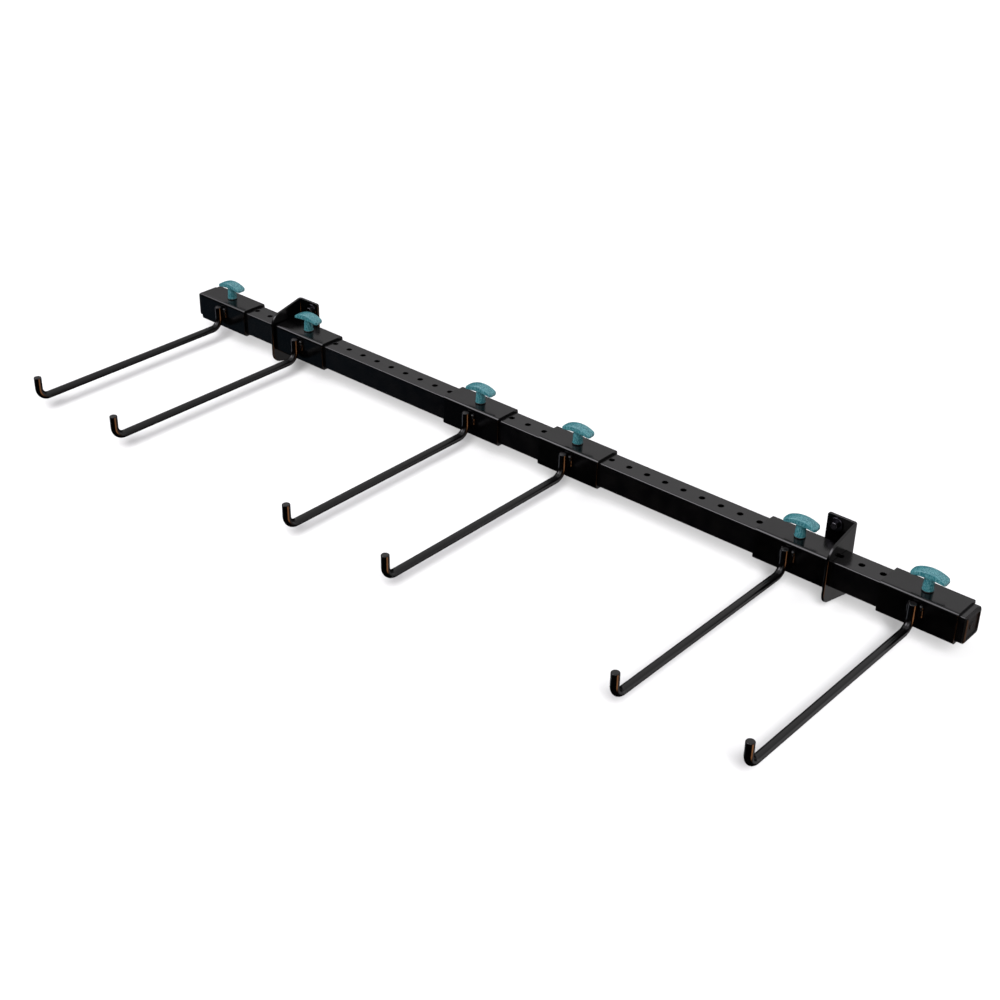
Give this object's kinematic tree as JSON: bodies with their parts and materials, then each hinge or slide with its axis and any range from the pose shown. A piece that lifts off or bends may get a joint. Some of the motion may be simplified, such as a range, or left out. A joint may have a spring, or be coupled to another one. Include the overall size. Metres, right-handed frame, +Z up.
{
  "type": "wall hook rack",
  "caption": "Wall rack: a square indexed rail on two bolted brackets carries sliding sleeves, each with a long J-shaped round-bar hook and a sprung T-handle locking pin.",
  "frame": {"origin": "centre of the four wall bolts, on the wall's surface", "axes": "+X along the rail to the right as seen from the room, +Y into the wall along the bolts, +Z up"},
  "size_m": [1.175, 0.3654, 0.0896],
  "materials": {
    "black_powder_coat": "semi-gloss powder coat, faint orange peel",
    "black_plastic": "fine-textured moulded plastic",
    "black_bolt_steel": "black coated fasteners, worn bright on the rims",
    "black_pin_steel": "black oxide, turned",
    "bright_pin_steel": "turned, zinc plated",
    "spring_steel": "bright drawn wire",
    "teal_plastic": "moulded plastic with a faint mottled flow pattern"
  },
  "bodies": {
    "rail": {"rail": "black_powder_coat", "end_cap_left": "black_plastic", "end_cap_right": "black_plastic", "bracket_left": "black_powder_coat", "bracket_right": "black_powder_coat", "bracket_weld_left": "black_powder_coat", "bracket_weld_right": "black_powder_coat", "wall_bolts": "black_bolt_steel", "wall_washers": "black_bolt_steel"},
    "carrier_1": {"carrier_sleeve_1": "black_powder_coat", "hook_arm_1": "black_powder_coat", "hook_weld_1": "black_powder_coat", "pin_barrel_1": "black_pin_steel", "pin_spring_1": "spring_steel"},
    "pin_1": {"pin_plunger_1": "bright_pin_steel", "pin_handle_1": "teal_plastic"},
    "carrier_2": {"carrier_sleeve_2": "black_powder_coat", "hook_arm_2": "black_powder_coat", "hook_weld_2": "black_powder_coat", "pin_barrel_2": "black_pin_steel", "pin_spring_2": "spring_steel"},
    "pin_2": {"pin_plunger_2": "bright_pin_steel", "pin_handle_2": "teal_plastic"},
    "carrier_3": {"carrier_sleeve_3": "black_powder_coat", "hook_arm_3": "black_powder_coat", "hook_weld_3": "black_powder_coat", "pin_barrel_3": "black_pin_steel", "pin_spring_3": "spring_steel"},
    "pin_3": {"pin_plunger_3": "bright_pin_steel", "pin_handle_3": "teal_plastic"},
    "carrier_4": {"carrier_sleeve_4": "black_powder_coat", "hook_arm_4": "black_powder_coat", "hook_weld_4": "black_powder_coat", "pin_barrel_4": "black_pin_steel", "pin_spring_4": "spring_steel"},
    "pin_4": {"pin_plunger_4": "bright_pin_steel", "pin_handle_4": "teal_plastic"},
    "carrier_5": {"carrier_sleeve_5": "black_powder_coat", "hook_arm_5": "black_powder_coat", "hook_weld_5": "black_powder_coat", "pin_barrel_5": "black_pin_steel", "pin_spring_5": "spring_steel"},
    "pin_5": {"pin_plunger_5": "bright_pin_steel", "pin_handle_5": "teal_plastic"},
    "carrier_6": {"carrier_sleeve_6": "black_powder_coat", "hook_arm_6": "black_powder_coat", "hook_weld_6": "black_powder_coat", "pin_barrel_6": "black_pin_steel", "pin_spring_6": "spring_steel"},
    "pin_6": {"pin_plunger_6": "bright_pin_steel", "pin_handle_6": "teal_plastic"}
  },
  "joints": [
    {"name": "carrier_1_slide", "type": "slide", "parent": "rail", "child": "carrier_1", "axis": [1, 0, 0], "range_m": [0, 0.0508]},
    {"name": "pin_1_pull", "type": "slide", "parent": "carrier_1", "child": "pin_1", "axis": [0, 0, 1], "range_m": [0, 0.008], "stiffness_N_per_m": 1200, "springref_m": -0.004, "deforming": ["pin_spring_1"]},
    {"name": "carrier_2_slide", "type": "slide", "parent": "rail", "child": "carrier_2", "axis": [1, 0, 0], "range_m": [0, 0.1016]},
    {"name": "pin_2_pull", "type": "slide", "parent": "carrier_2", "child": "pin_2", "axis": [0, 0, 1], "range_m": [0, 0.008], "stiffness_N_per_m": 1200, "springref_m": -0.004, "deforming": ["pin_spring_2"]},
    {"name": "carrier_3_slide", "type": "slide", "parent": "rail", "child": "carrier_3", "axis": [1, 0, 0], "range_m": [-0.1016, 0.0254]},
    {"name": "pin_3_pull", "type": "slide", "parent": "carrier_3", "child": "pin_3", "axis": [0, 0, 1], "range_m": [0, 0.008], "stiffness_N_per_m": 1200, "springref_m": -0.004, "deforming": ["pin_spring_3"]},
    {"name": "carrier_4_slide", "type": "slide", "parent": "rail", "child": "carrier_4", "axis": [1, 0, 0], "range_m": [-0.0254, 0.1016]},
    {"name": "pin_4_pull", "type": "slide", "parent": "carrier_4", "child": "pin_4", "axis": [0, 0, 1], "range_m": [0, 0.008], "stiffness_N_per_m": 1200, "springref_m": -0.004, "deforming": ["pin_spring_4"]},
    {"name": "carrier_5_slide", "type": "slide", "parent": "rail", "child": "carrier_5", "axis": [1, 0, 0], "range_m": [-0.1016, 0]},
    {"name": "pin_5_pull", "type": "slide", "parent": "carrier_5", "child": "pin_5", "axis": [0, 0, 1], "range_m": [0, 0.008], "stiffness_N_per_m": 1200, "springref_m": -0.004, "deforming": ["pin_spring_5"]},
    {"name": "carrier_6_slide", "type": "slide", "parent": "rail", "child": "carrier_6", "axis": [1, 0, 0], "range_m": [-0.0508, 0]},
    {"name": "pin_6_pull", "type": "slide", "parent": "carrier_6", "child": "pin_6", "axis": [0, 0, 1], "range_m": [0, 0.008], "stiffness_N_per_m": 1200, "springref_m": -0.004, "deforming": ["pin_spring_6"]}
  ]
}
